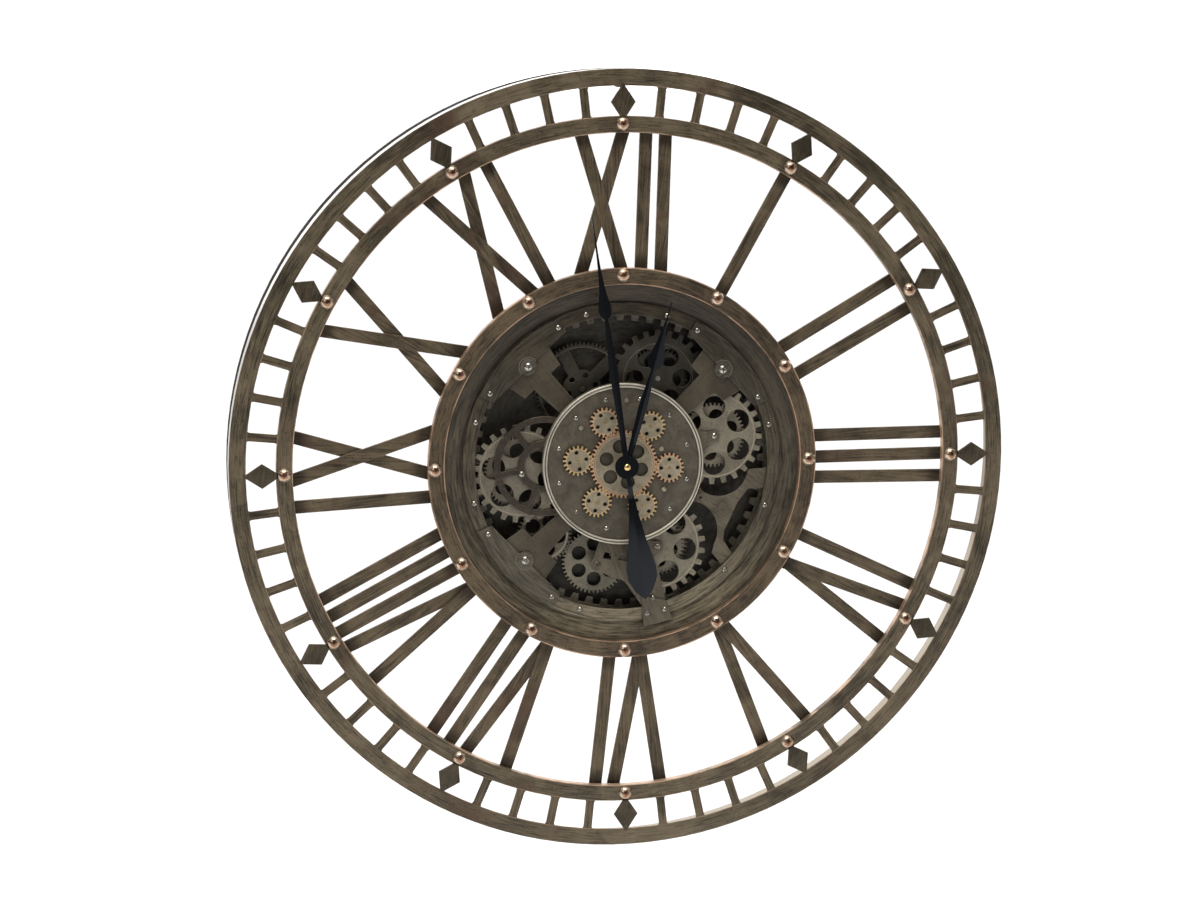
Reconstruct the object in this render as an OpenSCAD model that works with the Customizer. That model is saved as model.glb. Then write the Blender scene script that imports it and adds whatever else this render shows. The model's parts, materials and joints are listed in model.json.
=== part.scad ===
// Open-work wall clock with Roman numerals and a moving gear train behind a centre disc.
// The clock's axis is the Y axis, its front faces -Y, and +Z is twelve o'clock.
// The origin is the centre of the clock on the wall plane.
// Outlines are drawn in the front view: first number to the right, second number up.
// Depths are counted back from the front face of the rings, so the wall is at wall_depth.

/* [Overall] */
// Outside radius of the clock
clock_r = 400; // [396:1:404]
// Depth from the front face of the rings to the wall
wall_depth = 56; // [56:1:60]
// Thickness of the sheet that the rings and the drum are pressed from
sheet = 1.5; // [1.2:0.1:1.5]

/* [Rings] */
// Width of the outer ring's face
outer_face_w = 17; // [16:0.5:18]
// Outer radius of the numeral ring
numeral_ring_r = 353; // [352:0.5:354]
// Width of the numeral ring's face
numeral_face_w = 16.5; // [16:0.5:17]
// Outer radius of the hub ring
hub_ring_r = 200.8; // [200.5:0.1:201]
// Width of the hub ring's face
hub_face_w = 16.8; // [16.5:0.1:17]
// Depth of the lips that stand back from the two inner rings
lip_depth = 8; // [8:0.5:8]
// Width of a minute bar
minute_bar_w = 8.5; // [7:0.5:9]
// Width of a numeral strip
strip_w = 13; // [11:0.5:14]
// Thickness of a numeral strip
strip_t = 2.8; // [2:0.1:3]

/* [Ornaments] */
// Width of an hour diamond
diamond_w = 25; // [22:1:27]
// Height of an hour diamond
diamond_h = 38; // [36:1:39]
// Base radius of a domed rivet
rivet_r = 7.25; // [6.25:0.25:7.25]
// Height of a domed rivet
rivet_h = 5; // [4:0.5:5.5]

/* [Centre] */
// Outside radius of the bezel round the centre disc
bezel_r = 83.3; // [82.5:0.1:84]
// Radius of the circle that the six planet gears stand on
planet_circle_r = 47.6; // [47.6:0.1:47.6]
// Length of the minute hand from the axis
minute_hand_l = 258; // [230:1:270]
// Length of the hour hand from the axis
hour_hand_l = 173; // [150:1:180]
// Angle of the minute hand at rest, clockwise from twelve o'clock
minute_angle = -7.8; // [-180:0.1:180]
// Angle of the hour hand at rest, clockwise from twelve o'clock
hour_angle = 15.8; // [-180:0.1:180]

/* [Gear train] */
// Module of the fine teeth
fine_m = 1.4; // [1.4:0.1:1.4]
// Teeth of the sun gear on the centre disc
sun_teeth = 48; // [48:1:48]
// Teeth of each planet gear
planet_teeth = 20; // [20:1:20]
// Teeth of the large central drive wheel
drive_teeth = 96; // [96:1:96]
// Teeth of the small central wheel behind the drive wheel
rear_teeth = 52; // [52:1:52]
// Fine teeth of the right-hand gear
right_teeth = 46; // [46:1:46]
// Fine teeth of the lower right gear
lower_right_teeth = 40; // [40:1:40]
// Teeth of the rear wheel on the lower right gear
lower_right_rear_teeth = 48; // [48:1:48]
// Fine teeth of the left-hand gear
left_teeth = 53; // [53:1:53]
// Teeth of the upper left spoked gear
upper_left_teeth = 68; // [68:1:68]
// Fine teeth of the upper right gear
upper_right_teeth = 44; // [44:1:44]
// Teeth of the bottom gear
bottom_teeth = 46; // [46:1:46]
// Teeth of the bottom left gear
bottom_left_teeth = 39; // [39:1:39]
// Teeth of the pinion on the gear motor
pinion_teeth = 16; // [16:1:16]

/* [Rear] */
// Side of the square time movement
movement_w = 56; // [54:1:58]
// Depth of the time movement
movement_t = 16; // [15.5:0.5:16]
// Radius of an AA cell
cell_r = 7.1; // [7:0.05:7.2]
// Length of an AA cell
cell_l = 50; // [49:0.5:50.5]

/* [Hidden] */
$fn = 64;

// Radial clearance of every part that turns on a pin
running = 0.05;
band_back = wall_depth;
outer_inner_r = clock_r - outer_face_w;
numeral_inner_r = numeral_ring_r - numeral_face_w;
hub_inner_r = hub_ring_r - hub_face_w;
numeral_rivet_r = numeral_ring_r - numeral_face_w / 2 + 0.5;
hub_rivet_r = hub_ring_r - hub_face_w / 2 + 1;
diamond_r = numeral_rivet_r + 21.7;

// Drum: the can's radius, and the ledge inside it that carries the works
can_r = hub_inner_r + 3.2;
can_inner_r = can_r - sheet;
ledge_front = 10;
ledge_t = 2;
ledge_inner_r = 152;
ledge_outer_r = 164.5;
groove_r = 166.5;
groove_depth = 13;
groove_back = 15.5;
cover_front = 36;
cover_t = 2;
cover_back = cover_front + cover_t;

// Depth of each layer of the works: [front, back]
chord_layer = [8, ledge_front];
arm_layer = [10, 11.5];
web_layer = [12, 13.5];
coarse_layer = [12.5, 15];
fine_layer = [18, 21];
tooth_ring_layer = [27, 30];
upper_coarse_layer = [23, 25.5];
upper_fine_layer = [28, 31];
disc_layer = [5, 8];
bezel_back = 10;
bezel_w = 4.7;
disc_edge_r = bezel_r - bezel_w;
sun_layer = [1.5, 4.5];

// Coarse teeth, which show beyond the ledge and stop short of the next gear
coarse_teeth = 24;
coarse_tip_r = 50.5;
coarse_root_r = 44.3;
coarse_line_r = 42.5;
ring_teeth = 60;
ring_tip_r = 145;
ring_root_r = ledge_inner_r;

// Axles and the bores that turn on them
axle_r = 2.5;
planet_pin_r = 1.5;
tube_r = 4.5;
tube_bore_r = 2.6;
sleeve_r = 7;
hour_tube_r = 2.55;
hour_bore_r = 1.8;
minute_shaft_r = 1.75;

// Hands
hour_hand_front = -13.2;
minute_hand_front = -16.4;
hand_t = 1.2;
hand_boss_r = 12.2;
nut_front = -20;
nut_r = 3.3;

// Front view position of a point at radius r and angle a, counted up from the right
function at(r, a) = [r * cos(a), r * sin(a)];

// Pitch radius of a fine gear
function pitch_r(teeth) = fine_m * teeth / 2;

// Phase that puts a follower in mesh with its driver, where along is the direction to it
function mesh_phase(driver_phase, driver_teeth, along, teeth) =
    along + 180 - (360 / teeth) * (0.5 - (along - driver_phase) * driver_teeth / 360);

// Gear centres: [centre, phase] of each wheel, placed by its distance from its driver
drive_phase = 1;
right_along = 14.7;
right_c = at(pitch_r(drive_teeth) + pitch_r(right_teeth), right_along);
right_phase = mesh_phase(drive_phase, drive_teeth, right_along, right_teeth);
lower_right_along = -67.4;
lower_right_c = at(pitch_r(drive_teeth) + pitch_r(lower_right_teeth), lower_right_along);
lower_right_phase = mesh_phase(drive_phase, drive_teeth, lower_right_along, lower_right_teeth);
left_along = 184.45;
left_c = at(pitch_r(drive_teeth) + pitch_r(left_teeth), left_along);
left_phase = mesh_phase(drive_phase, drive_teeth, left_along, left_teeth);
pinion_along = -25;
pinion_c = at(pitch_r(drive_teeth) + pitch_r(pinion_teeth), pinion_along);
pinion_phase = mesh_phase(drive_phase, drive_teeth, pinion_along, pinion_teeth);
upper_left_along = 117;
upper_left_c = at(pitch_r(rear_teeth) + pitch_r(upper_left_teeth), upper_left_along);
upper_left_phase = mesh_phase(0, rear_teeth, upper_left_along, upper_left_teeth);
upper_right_along = 7.1;
upper_right_c = upper_left_c
    + at(pitch_r(upper_left_teeth) + pitch_r(upper_right_teeth), upper_right_along);
upper_right_phase =
    mesh_phase(upper_left_phase, upper_left_teeth, upper_right_along, upper_right_teeth);
lower_right_rear_phase = 0;
bottom_along = 194.75;
bottom_c = lower_right_c
    + at(pitch_r(lower_right_rear_teeth) + pitch_r(bottom_teeth), bottom_along);
bottom_phase =
    mesh_phase(lower_right_rear_phase, lower_right_rear_teeth, bottom_along, bottom_teeth);
bottom_left_along = 150.6;
bottom_left_c = bottom_c
    + at(pitch_r(bottom_teeth) + pitch_r(bottom_left_teeth), bottom_left_along);
bottom_left_phase =
    mesh_phase(bottom_phase, bottom_teeth, bottom_left_along, bottom_left_teeth);
sun_phase = 3;

// Strokes of each numeral in the frame of its own hour, radius upwards and clockwise to the
// right: [offset at the numeral ring, offset at the hub ring, 0 in front or 1 behind]
outer_ref = 334;
inner_ref = 200;
strokes = [
    [[1, 2, 0]],
    [[-17, -17, 0], [17, 15.5, 0]],
    [[-23, -23, 0], [-0.5, -0.5, 0], [23, 20.5, 0]],
    [[-34, -24, 0], [-10, 10, 0], [31, 8, 1]],
    [[22, 0, 1], [-30, -4.5, 0]],
    [[-38, -18, 0], [10, -17, 1], [30, 14.5, 0]],
    [[37, 25, 0], [15.5, 3, 0], [-5, -24.5, 1], [-49.5, -24.5, 0]],
    [[42.5, 37, 0], [23, 17.5, 0], [4, -2.5, 0], [-14, -28, 1], [-56.5, -31, 0]],
    [[-34, -28, 0], [36.5, -4, 1], [-6, 37, 0]],
    [[26, -22, 1], [-27.5, 21.5, 0]],
    [[9.5, -31, 1], [-34, 9, 0], [34, 28.5, 0]],
    [[25, 19.5, 0], [45, 40, 0], [-41, -1, 0], [1, -40, 1]]];
strip_inner_r = can_r + 1.3;
strip_outer_r = numeral_ring_r - 3.5;
weld_l = 9;

// Colours
bronze = [0.33, 0.29, 0.24];
dark_bronze = [0.27, 0.24, 0.21];
copper = [0.72, 0.5, 0.38];
steel = [0.5, 0.48, 0.43];
dark_steel = [0.36, 0.34, 0.31];
nickel = [0.75, 0.74, 0.7];
gold = [0.78, 0.64, 0.44];
black = [0.05, 0.05, 0.06];

// An outline made into a plate between two depths
module plate(front, back) {
    translate([0, back - wall_depth, 0])
        rotate([90, 0, 0])
            linear_extrude(back - front)
                children();
}

// An outline of [radius, depth] turned round the clock's axis
module turned() {
    translate([0, -wall_depth, 0])
        rotate([-90, 0, 0])
            rotate_extrude($fn = 180)
                children();
}

// A ring outline
module annulus(inner_r, outer_r) {
    difference() {
        circle(outer_r, $fn = 180);
        circle(inner_r, $fn = 180);
    }
}

// A straight bar outline from p to q
module bar(p, q, w) {
    length = norm(q - p);
    translate(p)
        rotate(atan2(q[1] - p[1], q[0] - p[0]))
            translate([0, -w / 2])
                square([length, w]);
}

// A toothed wheel's outline; the shares are parts of the tooth pitch
module toothed(teeth, root_r, tip_r, root_share, tip_share, phase) {
    pitch = 360 / teeth;
    polygon([for (i = [0:teeth - 1], k = [0:3])
        at(k == 0 || k == 3 ? root_r : tip_r,
            phase + pitch * (i + [-root_share, -tip_share, tip_share, root_share][k] / 2))]);
}

// A fine gear's outline
module fine_gear(teeth, phase) {
    toothed(teeth, fine_m * (teeth / 2 - 1.2), fine_m * (teeth / 2 + 1), 0.56, 0.25, phase);
}

// Copies of an outline on a circle
module around(count, r, start) {
    for (i = [0:count - 1])
        rotate(start + i * 360 / count)
            translate([r, 0])
                children();
}

// A pan-head screw whose head stands forward of depth d, with a cross slot
module screw_at(p, d, r, h) {
    slot_w = r * 0.28;
    slot_l = r * 1.1;
    translate([p[0], d - wall_depth, p[1]])
        rotate([90, 0, 0])
            difference() {
                intersection() {
                    cylinder(r = r, h = h, $fn = 32);
                    translate([0, 0, h - r * 1.35])
                        sphere(r * 1.35, $fn = 32);
                }
                translate([-slot_l / 2, -slot_w / 2, h - r * 0.3])
                    cube([slot_l, slot_w, r]);
                translate([-slot_w / 2, -slot_l / 2, h - r * 0.3])
                    cube([slot_w, slot_l, r]);
            }
}

// A domed rivet standing forward of the ring's face
module rivet_at(p) {
    sphere_r = (rivet_r * rivet_r + rivet_h * rivet_h) / (2 * rivet_h);
    translate([p[0], -wall_depth, p[1]])
        rotate([90, 0, 0])
            intersection() {
                cylinder(r = rivet_r + 1, h = rivet_h + 1);
                translate([0, 0, rivet_h - sphere_r])
                    sphere(sphere_r);
            }
}

module outer_ring() {
    color(bronze)
        turned()
            polygon([[outer_inner_r, 0], [clock_r, 0], [clock_r, band_back],
                [clock_r - sheet, band_back], [clock_r - sheet, sheet], [outer_inner_r, sheet]]);
}

// A channel ring: a flat face with a lip standing back from each edge
module channel_ring(inner_r, outer_r) {
    turned()
        polygon([[inner_r, 0], [outer_r, 0], [outer_r, lip_depth], [outer_r - sheet, lip_depth],
            [outer_r - sheet, sheet], [inner_r + sheet, sheet], [inner_r + sheet, lip_depth],
            [inner_r, lip_depth]]);
}

module numeral_ring() {
    color(bronze) channel_ring(numeral_inner_r, numeral_ring_r);
}

module hub_ring() {
    color(bronze) channel_ring(hub_inner_r, hub_ring_r);
}

// Forty-eight bars, one for each minute that isn't an hour, with flared weld ends
module minute_bars() {
    half = minute_bar_w / 2;
    flare = 1.2;
    low = numeral_ring_r - 1;
    high = outer_inner_r + 1;
    color(bronze)
        plate(0, sheet)
            intersection() {
                annulus(numeral_ring_r, outer_inner_r);
                for (minute = [0:59])
                    if (minute % 5 != 0)
                        rotate(minute * 6)
                            polygon([[-half - flare, low], [half + flare, low],
                                [half, low + 2 + flare], [half, high - 2 - flare],
                                [half + flare, high], [-half - flare, high],
                                [-half, high - 2 - flare], [-half, low + 2 + flare]]);
            }
}

module hour_diamonds() {
    color(bronze)
        plate(-2, 0)
            for (hour = [1:12])
                rotate(-30 * hour)
                    difference() {
                        polygon([[0, diamond_r - diamond_h / 2], [diamond_w / 2, diamond_r],
                            [0, diamond_r + diamond_h / 2], [-diamond_w / 2, diamond_r]]);
                        translate([0, numeral_rivet_r]) circle(rivet_r + 0.1);
                    }
}

module ring_rivets() {
    color(copper)
        for (hour = [1:12], r = [numeral_rivet_r, hub_rivet_r])
            rivet_at(at(r, 90 - 30 * hour));
}

// One stroke of a numeral, cut to the two rings that it is welded behind
module stroke_outline(stroke, inner_r, outer_r) {
    slope = (stroke[0] - stroke[1]) / (outer_ref - inner_ref);
    reach = 40;
    intersection() {
        annulus(inner_r, outer_r);
        bar([stroke[1] - slope * reach, inner_ref - reach],
            [stroke[0] + slope * reach, outer_ref + reach], strip_w);
    }
}

// A Roman numeral; strokes that cross pass behind each other on welded packers
module numeral(hour) {
    color(bronze)
        for (stroke = strokes[hour - 1]) {
            front = lip_depth + stroke[2] * strip_t;
            plate(front, front + strip_t)
                rotate(-30 * hour)
                    stroke_outline(stroke, strip_inner_r, strip_outer_r);
            if (stroke[2] == 1)
                plate(lip_depth, front)
                    rotate(-30 * hour) {
                        stroke_outline(stroke, strip_inner_r, strip_inner_r + weld_l);
                        stroke_outline(stroke, strip_outer_r - weld_l, strip_outer_r);
                    }
        }
}

// The drum: a short open can behind the hub ring
module drum() {
    color(dark_bronze)
        turned()
            translate([can_inner_r, sheet])
                square([sheet, wall_depth - sheet]);
}

// The sloping dish inside the drum's mouth and the flat ledge that carries the works
module dish() {
    dish_top = ledge_front - sheet;
    color(dark_bronze)
        turned()
            polygon([[can_inner_r, dish_top], [can_inner_r, dish_top + 2],
                [groove_r + 0.5, groove_back], [ledge_outer_r - 1.2, groove_back],
                [ledge_outer_r - 1.2, ledge_front + ledge_t],
                [ledge_inner_r, ledge_front + ledge_t], [ledge_inner_r, ledge_front],
                [ledge_outer_r, ledge_front], [ledge_outer_r, groove_depth],
                [groove_r, groove_depth]]);
}

// An internally toothed ring behind the ledge
module tooth_ring() {
    color(steel)
        plate(tooth_ring_layer[0], tooth_ring_layer[1])
            difference() {
                circle(can_inner_r, $fn = 180);
                toothed(ring_teeth, ring_tip_r, ring_root_r, 0.62, 0.45, 2.5);
            }
}

// The rear wall of the drum, with the opening for the gear motor's boss
module back_cover() {
    color(dark_steel)
        plate(cover_front, cover_back)
            difference() {
                circle(can_inner_r, $fn = 180);
                circle(tube_r + running);
                translate(pinion_c) circle(motor_boss_r + 0.5);
            }
}

// The chord plates carry the three arms: [direction, radius of the big screw]
arm_along = [42, 133.5, 223.7];
arm_screw_r = 140.5;
chord_r = 139.5;
chord_half_angle = 20;

// Three plates on the ledge, each cut off along a chord
module chord_plates() {
    color(dark_bronze)
        plate(chord_layer[0], chord_layer[1])
            for (along = arm_along)
                rotate(along)
                    intersection() {
                        circle(ledge_outer_r - 0.5, $fn = 180);
                        polygon([at(chord_r - 12, 0), at(chord_r / cos(chord_half_angle), -chord_half_angle),
                            at(ledge_outer_r + 12, -chord_half_angle), at(ledge_outer_r + 12, chord_half_angle),
                            at(chord_r / cos(chord_half_angle), chord_half_angle)]);
                        union() {
                            translate([chord_r, -ledge_outer_r / 2]) square([30, ledge_outer_r]);
                            translate([arm_screw_r, 0]) circle(9);
                        }
                    }
}

// Outlines of the three arms from the bezel out to the chord plates
module arm_outlines() {
    inner_half = 9;
    neck_half = 12;
    neck_at = 119;
    head_half = 25;
    head_end_half = 29;
    for (along = arm_along)
        rotate(along)
            intersection() {
                annulus(disc_edge_r, ledge_inner_r - 0.5);
                union() {
                    polygon([[70, -inner_half], [neck_at, -neck_half], [neck_at, -head_half],
                        [arm_screw_r, -head_end_half], [arm_screw_r, head_end_half],
                        [neck_at, head_half], [neck_at, neck_half], [70, inner_half]]);
                    translate([arm_screw_r, 0]) circle(10.5);
                }
            }
}

module bridge_arms() {
    color(steel)
        plate(arm_layer[0], arm_layer[1])
            arm_outlines();
}

// The web between the two right-hand gears, scalloped to clear them, with two bosses
web_boss_c = [81.7, -38.6];
web_stud_c = [104.5, -48.1];
module web_plate() {
    boss_h = 1.2;
    color(steel) {
        plate(web_layer[0], web_layer[1])
            difference() {
                intersection() {
                    circle(ledge_outer_r - 2, $fn = 180);
                    polygon([[74, -32], [84, -31], [131, -11], [166, -9], [162, -31], [132, -31],
                        [121, -45], [113, -62], [107, -74], [106, -84], [116, -100], [128, -108],
                        [114, -122], [94, -97], [96, -90], [80, -50], [74, -48]]);
                }
                translate([102, -8]) circle(30);
                translate([69, -73]) circle(31);
                translate(right_c) circle(coarse_tip_r + 1.5, $fn = 120);
                translate(lower_right_c) circle(coarse_tip_r + 1.5, $fn = 120);
                translate(web_boss_c) circle(1.5);
            }
        plate(web_layer[0] - boss_h, web_layer[0]) {
            translate(web_boss_c)
                difference() {
                    circle(4.6);
                    circle(1.5);
                }
            translate(web_stud_c) circle(3.7);
        }
    }
}

// The finger bracket that steadies the right-hand axle
module axle_bracket() {
    color(steel)
        plate(arm_layer[0], arm_layer[1])
            intersection() {
                annulus(disc_edge_r, ledge_inner_r);
                union() {
                    hull() {
                        translate(right_c) circle(5.5, $fn = 32);
                        translate([84, 22]) circle(7, $fn = 32);
                    }
                    polygon([[76, 6], [86, 10], [94, 19], [90, 29], [80, 32], [70, 30]]);
                }
            }
}

// The bridge that holds the bottom and lower right axles, with its foot on the ledge
module bottom_bridge() {
    color(steel) {
        plate(arm_layer[0], arm_layer[1])
            difference() {
                intersection() {
                    annulus(disc_edge_r, ledge_inner_r - 0.5);
                    union() {
                        polygon([[-22, -74], [-25.4, -82.7], [-30.6, -98.8], [-24.8, -111.4],
                            [-12.3, -118.2], [-3.1, -120.5], [2.6, -124], [20, -150], [46, -150],
                            [44.9, -144.7], [37.3, -113.2], [31, -95], [38, -93.5], [38, -82.5],
                            [30, -82], [24, -74]]);
                        translate(bottom_c) circle(7);
                        translate(lower_right_c) circle(5.8);
                    }
                }
                polygon([[-18.5, -91.9], [-12.3, -93], [-12.3, -99.9], [-21.4, -98.2]]);
                polygon([[-2, -94.8], [5, -96], [5, -102.4], [-5.4, -100.5]]);
                translate([16, -120]) circle(4);
            }
        plate(chord_layer[0], chord_layer[1])
            polygon([[19.2, -138], [21.1, -171.4], [51.6, -164.8], [44.9, -144.7]]);
    }
}

// The open spoked cage in front of the left-hand gear
module left_cage() {
    centre = [-81.1, -0.8];
    rim_r = 51.4;
    rim_w = 6.4;
    inner_rim_r = 26.6;
    spoke_w = 6;
    color(dark_bronze)
        plate(arm_layer[0], arm_layer[1])
            difference() {
                translate(centre) {
                    annulus(rim_r - rim_w, rim_r);
                    annulus(inner_rim_r - rim_w, inner_rim_r);
                    difference() {
                        for (k = [0:5])
                            rotate(10 + 60 * k)
                                translate([0, -spoke_w / 2])
                                    square([rim_r - 1, spoke_w]);
                        circle(inner_rim_r - 1);
                    }
                }
                arm_outlines();
                circle(disc_edge_r - 3, $fn = 180);
            }
}

module centre_disc() {
    pin_front = sun_layer[0] - 0.4;
    color(dark_steel) {
        plate(disc_layer[0], disc_layer[1])
            difference() {
                circle(disc_edge_r, $fn = 180);
                circle(sleeve_r + 1);
            }
        plate(pin_front, disc_layer[0])
            around(6, planet_circle_r, 54) circle(planet_pin_r);
    }
}

// Two polished beads on a rim, with a shelf behind that the disc is screwed to
module bezel_ring() {
    bead_r = 1.25;
    bead_depth = 4.4;
    shelf_w = 14;
    color(nickel)
        turned() {
            translate([bezel_r - bezel_w, bead_depth])
                square([bezel_w, bezel_back - bead_depth]);
            translate([bezel_r - shelf_w, disc_layer[1]])
                square([shelf_w, bezel_back - disc_layer[1]]);
            translate([bezel_r - bead_r, bead_depth]) circle(bead_r, $fn = 24);
            translate([bezel_r - bezel_w + bead_r, bead_depth]) circle(bead_r, $fn = 24);
        }
}

// Four plain brass pins on the disc
disc_pin_at = [[3.5, 65.5], [-43.5, 38.5], [39.5, 14.5], [42, -27.5]];
module disc_pins() {
    color(gold)
        plate(disc_layer[0] - 1.2, disc_layer[0])
            for (p = disc_pin_at)
                translate(p) circle(2.3);
}

// Directions of the ledge screws, which stand a little further in on the chord plates
ledge_screw_r = 157.5;
chord_screw_r = 155.5;
ledge_screw_at =
    [13, 24.5, 60, 72.7, 103.5, 115, 151, 163, 193.5, 206.2, 241.3, 253.4, 313, 342];
foot_screw_at = [[25, -157.5], [43.5, -154], [31, -141.5]];
module screws() {
    color(nickel) {
        for (k = [0:11])
            screw_at(at(68.5, 15 + 30 * k), disc_layer[0], 2.2, 1.4);
        for (a = ledge_screw_at)
            if (near_chord_plate(a))
                screw_at(at(chord_screw_r, a), chord_layer[0], 2.6, 1.8);
            else
                screw_at(at(ledge_screw_r, a), ledge_front, 2.6, 1.8);
        for (p = foot_screw_at)
            screw_at(p, chord_layer[0], 2.6, 1.8);
        for (a = arm_along) {
            screw_at(at(arm_screw_r, a), chord_layer[0] - 0.8, 4.2, 2.6);
            plate(chord_layer[0] - 0.8, chord_layer[0])
                translate(at(arm_screw_r, a)) circle(8);
        }
        for (p = [right_c, left_c, lower_right_c])
            screw_at(p, arm_layer[0], 2.9, 1.8);
        screw_at(bottom_c, arm_layer[0], 4, 2.4);
    }
}

// True where a chord plate covers the ledge at angle a
function near_chord_plate(a) =
    len([for (c = arm_along) if (abs(a - c) < chord_half_angle) c]) > 0;

// Fixed posts that the wheels turn on, riveted into the rear cover, and the centre tube
module gear_axles() {
    color(steel) {
        for (p = [right_c, lower_right_c, left_c, bottom_c])
            plate(arm_layer[1], cover_front) translate(p) circle(axle_r);
        plate(upper_coarse_layer[0], cover_front) translate(upper_right_c) circle(axle_r);
        for (p = [bottom_left_c, upper_left_c])
            plate(upper_fine_layer[0] - 2, cover_front) translate(p) circle(axle_r);
        plate(-10, cover_back + 3)
            difference() {
                circle(tube_r);
                circle(tube_bore_r);
            }
    }
}

// The eye under the top of the band that the wall screw goes through
eye_c = [0, clock_r - sheet - 9.4];
eye_bore_r = 5.6;
eye_layer = [24, 27];
module hanging_eye() {
    color(black)
        plate(eye_layer[0], eye_layer[1])
            difference() {
                intersection() {
                    circle(clock_r - sheet, $fn = 180);
                    union() {
                        translate(eye_c) circle(eye_bore_r + 2.6);
                        translate(eye_c + [-6, 4]) square([12, 12]);
                    }
                }
                translate(eye_c) circle(eye_bore_r);
            }
}

// Time movement, with a bay for its cell open to the rear
case_front = wall_depth - movement_t;
case_back = wall_depth;
cell_bay = [cell_l + 2, cell_r * 2 + 0.8];
movement_cell_z = -16;
wheel_c = [14, 14];
wheel_shaft_r = 1.5;
wheel_tip_r = 6.8;
wheel_layer = [53.8, 55.7];
module movement_case() {
    color(black)
        difference() {
            union() {
                plate(case_front, case_back)
                    square([movement_w, movement_w], center = true);
                plate(cover_back, case_front) circle(12);
            }
            plate(cover_back - 1, case_front + 8) circle(5.2);
            plate(case_back - cell_r * 2 - 0.4, case_back + 1)
                translate([0, movement_cell_z]) square(cell_bay, center = true);
            plate(wheel_layer[0] - 0.3, case_back + 1)
                translate(wheel_c) circle(wheel_tip_r + 1.4);
            plate(wheel_layer[0] - 6, case_back)
                translate(wheel_c) circle(wheel_shaft_r + running);
        }
}

// Knurled wheel in the back of the movement that sets the hands
module setting_wheel() {
    color(black) {
        plate(wheel_layer[0], wheel_layer[1])
            translate(wheel_c) toothed(18, wheel_tip_r - 0.6, wheel_tip_r, 0.7, 0.4, 0);
        plate(wheel_layer[0] - 5.5, wheel_layer[0])
            translate(wheel_c) circle(wheel_shaft_r);
    }
}

// Gear motor: a boss through the rear cover and a gearbox behind it
motor_boss_r = 10;
motor_boss_front = 24;
motor_bore_depth = 8;
module gear_motor() {
    color(steel)
        difference() {
            union() {
                plate(motor_boss_front, cover_back)
                    translate(pinion_c) circle(motor_boss_r);
                plate(cover_back, cover_back + 13)
                    translate(pinion_c) square([38, 32], center = true);
            }
            plate(motor_boss_front - 1, motor_boss_front + motor_bore_depth)
                translate(pinion_c) circle(planet_pin_r + running);
        }
}

module motor_pinion() {
    color(gold) {
        plate(fine_layer[0], fine_layer[1])
            translate(pinion_c) fine_gear(pinion_teeth, pinion_phase);
        plate(fine_layer[1], motor_boss_front + motor_bore_depth - 0.5)
            translate(pinion_c) circle(planet_pin_r);
    }
}

// Battery box for the motor: an open tray on the rear cover, closed by a sliding door
box_c = [-86, -20];
box_w = 2 * cell_r * 2 + 6;
box_h = cell_l + 12;
box_wall = 2;
box_back = wall_depth - 0.4;
door_layer = [53.5, 54.7];
door_rail = 0.8;
door_gap = 0.3;
module battery_box() {
    inner = [box_w - 2 * box_wall, box_h - 2 * box_wall];
    color(black)
        difference() {
            plate(cover_back, box_back)
                translate(box_c) square([box_w, box_h], center = true);
            plate(cover_back + 1, box_back + 1)
                translate(box_c) square(inner, center = true);
            plate(door_layer[0] - door_gap, door_layer[1] + door_gap)
                translate(box_c + [0, -box_wall])
                    square([box_w - 2 * door_rail, box_h], center = true);
            plate(switch_layer[0] - 0.3, switch_layer[1] + 0.3)
                translate(box_c + [box_w / 2 - box_wall / 2, 0])
                    square([box_wall + 2, switch_slot], center = true);
        }
}

module battery_door() {
    color(black)
        plate(door_layer[0], door_layer[1])
            translate(box_c + [0, -box_wall / 2])
                square([box_w - 2 * (door_rail + door_gap), box_h - box_wall - 2 * door_gap],
                    center = true);
}

// Three AA cells: two in the battery box and one in the movement
module aa_cells() {
    box_cell_depth = cover_back + 1 + cell_r;
    color(gold) {
        for (side = [-1, 1])
            cell([box_c[0] + side * (cell_r + 0.3), box_c[1]], box_cell_depth, 0);
        cell([0, movement_cell_z], case_back - cell_r - 0.2, 90);
    }
}

// One cell lying in the plane of the rear cover, turned by an angle from upright
module cell(p, depth, turn) {
    nub_r = 2.7;
    nub_h = 1.2;
    translate([p[0], depth - wall_depth, p[1]])
        rotate([0, turn, 0])
            translate([0, 0, -cell_l / 2]) {
                cylinder(r = cell_r, h = cell_l - nub_h);
                cylinder(r = nub_r, h = cell_l);
            }
}

// Slide switch in the side of the battery box
switch_layer = [44, 48];
switch_travel = 4;
switch_slot = 13;
module power_switch() {
    color(nickel)
        plate(switch_layer[0], switch_layer[1])
            translate(box_c + [box_w / 2 - box_wall / 2 + 0.7, -switch_travel / 2])
                square([box_wall + 1.4, switch_slot - switch_travel - 0.6], center = true);
}

// Half outline of a hand as [half width, radius] pairs, mirrored about its centre line
module hand_outline(half) {
    count = len(half);
    polygon([for (i = [0:2 * count - 1])
        i < count ? half[i] : [-half[2 * count - 1 - i][0], half[2 * count - 1 - i][1]]]);
}

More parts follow.
